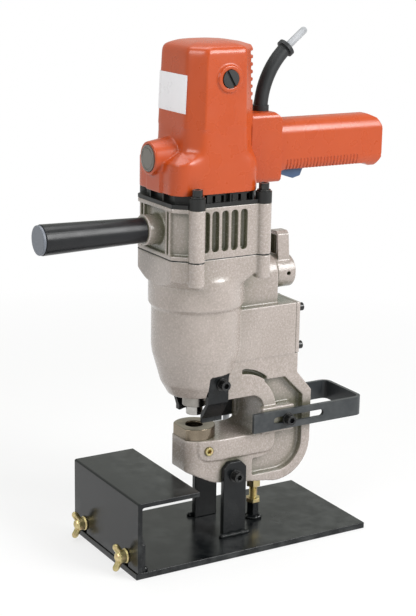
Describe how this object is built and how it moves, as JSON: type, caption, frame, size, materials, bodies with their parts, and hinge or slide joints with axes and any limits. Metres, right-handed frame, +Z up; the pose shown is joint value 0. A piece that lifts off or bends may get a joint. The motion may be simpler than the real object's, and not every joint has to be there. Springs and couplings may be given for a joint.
{
  "type": "hydraulic hole punch",
  "caption": "Electric hydraulic hole punch: C-shaped jaw with punch and die under a pump and upright motor, trigger handle and side grip, on a flat stand with a work rest.",
  "frame": {"origin": "on the underside of the stand's base plate, straight below the punch axis", "axes": "+Z up along the punch axis; +X towards the trigger handle; -X towards the work rest and the side grip; -Y is the operator's right-hand side"},
  "size_m": [0.3627, 0.279, 0.4852],
  "materials": {
    "black_steel": "satin black paint",
    "grey_casting": "warm grey hammertone paint",
    "grey_aluminium": "warm grey painted cast aluminium",
    "orange_plastic": "gloss orange moulded plastic",
    "black_plastic": "matt black plastic",
    "grey_plastic": "matt grey plastic",
    "trigger_plastic": "matt blue-grey plastic",
    "black_rubber": "matt black rubber",
    "cord_rubber": "matt grey rubber",
    "zinc_plate": "yellow zinc plating",
    "bronze": "bearing bronze",
    "steel": "ground steel",
    "black_oxide": "black oxide",
    "tool_steel": "oiled tool steel",
    "laminations": "varnished laminations"
  },
  "bodies": {
    "machine": {"base_plate": "black_steel", "right_lug": "black_steel", "left_lug": "black_steel", "front_upstand": "black_steel", "jack_post": "black_steel", "weld_beads": "black_steel", "jack_lock_nut": "zinc_plate", "frame_casting": "grey_casting", "die": "tool_steel", "die_set_screw": "zinc_plate", "return_spring": "steel", "rod_bush": "bronze", "right_stripper": "black_steel", "left_stripper": "black_steel", "cap_screws": "black_oxide", "rear_cover": "grey_casting", "rear_cover_screws": "black_oxide", "oil_bladder": "black_rubber", "pump_case": "grey_aluminium", "case_gasket": "black_rubber", "pump_block": "steel", "pump_plungers": "steel", "adapter_ring": "black_plastic", "housing_bolts": "black_oxide", "motor_housing": "orange_plastic", "stator": "laminations", "rotor_bearings": "steel", "carbon_brushes": "black_plastic", "brush_caps": "grey_plastic", "front_plug": "grey_plastic", "handle_right_half": "orange_plastic", "handle_left_half": "orange_plastic", "handle_screws": "steel", "trigger_pin": "steel", "switch_body": "black_plastic", "cord_guard": "black_rubber", "side_grip_stud": "steel", "side_grip_sleeve": "black_rubber", "side_grip_cap": "grey_plastic", "power_cord": "cord_rubber", "cord_coil": "cord_rubber", "plug": "black_rubber"},
    "ram_assembly": {"ram": "steel", "piston_seal": "black_rubber", "punch": "steel", "punch_nut": "tool_steel"},
    "trigger_body": {"trigger": "trigger_plastic"},
    "release": {"release_lever": "grey_aluminium", "release_spindle": "steel"},
    "gauge": {"gauge_strap": "black_steel"},
    "rest": {"work_rest": "black_steel"},
    "right_wing": {"right_wing_bolt": "zinc_plate"},
    "left_wing": {"left_wing_bolt": "zinc_plate"},
    "jack": {"jack_bolt": "zinc_plate"},
    "rotor": {"armature": "laminations", "cooling_fan": "black_plastic"},
    "crank": {"eccentric_shaft": "steel", "drive_gear": "steel"}
  },
  "joints": [
    {"name": "ram_slide", "type": "slide", "parent": "machine", "child": "ram_assembly", "axis": [0, 0, -1], "range_m": [0, 0.014], "stiffness_N_per_m": 3000, "springref_m": -0.02, "deforming": ["return_spring"]},
    {"name": "trigger_pull", "type": "hinge", "parent": "machine", "child": "trigger_body", "pos_m": [0.086, 0, 0.368], "axis": [0, -1, 0], "range_deg": [0, 8], "stiffness_Nm_per_rad": 0.5, "springref_deg": -17.19},
    {"name": "release_turn", "type": "hinge", "parent": "machine", "child": "release", "pos_m": [0.09, 0, 0.256], "axis": [1, 0, 0], "range_deg": [0, 90]},
    {"name": "gauge_slide", "type": "slide", "parent": "machine", "child": "gauge", "axis": [1, 0, 0], "range_m": [-0.038, 0.012]},
    {"name": "rest_lift", "type": "slide", "parent": "machine", "child": "rest", "axis": [0, 0, 1], "range_m": [0, 0.012]},
    {"name": "right_wing_turn", "type": "hinge", "parent": "machine", "child": "right_wing", "pos_m": [-0.095, -0.043, 0.016], "axis": [-1, 0, 0], "range_deg": [0, 360]},
    {"name": "left_wing_turn", "type": "hinge", "parent": "machine", "child": "left_wing", "pos_m": [-0.095, 0.043, 0.016], "axis": [-1, 0, 0], "range_deg": [0, 360]},
    {"name": "jack_turn", "type": "hinge", "parent": "machine", "child": "jack", "pos_m": [0.069, 0, 0.03], "axis": [0, 0, -1], "range_deg": [0, 360]},
    {"name": "rotor_spin", "type": "hinge", "parent": "machine", "child": "rotor", "pos_m": [0.009, 0, 0.4], "axis": [0, 0, 1], "continuous": true},
    {"name": "crank_spin", "type": "hinge", "parent": "machine", "child": "crank", "pos_m": [-0.011, 0, 0.32], "axis": [0, 0, 1], "continuous": true}
  ],
  "couplings": [
    {"joint": "crank_spin", "follows": "rotor_spin", "ratio": -0.42857}
  ]
}
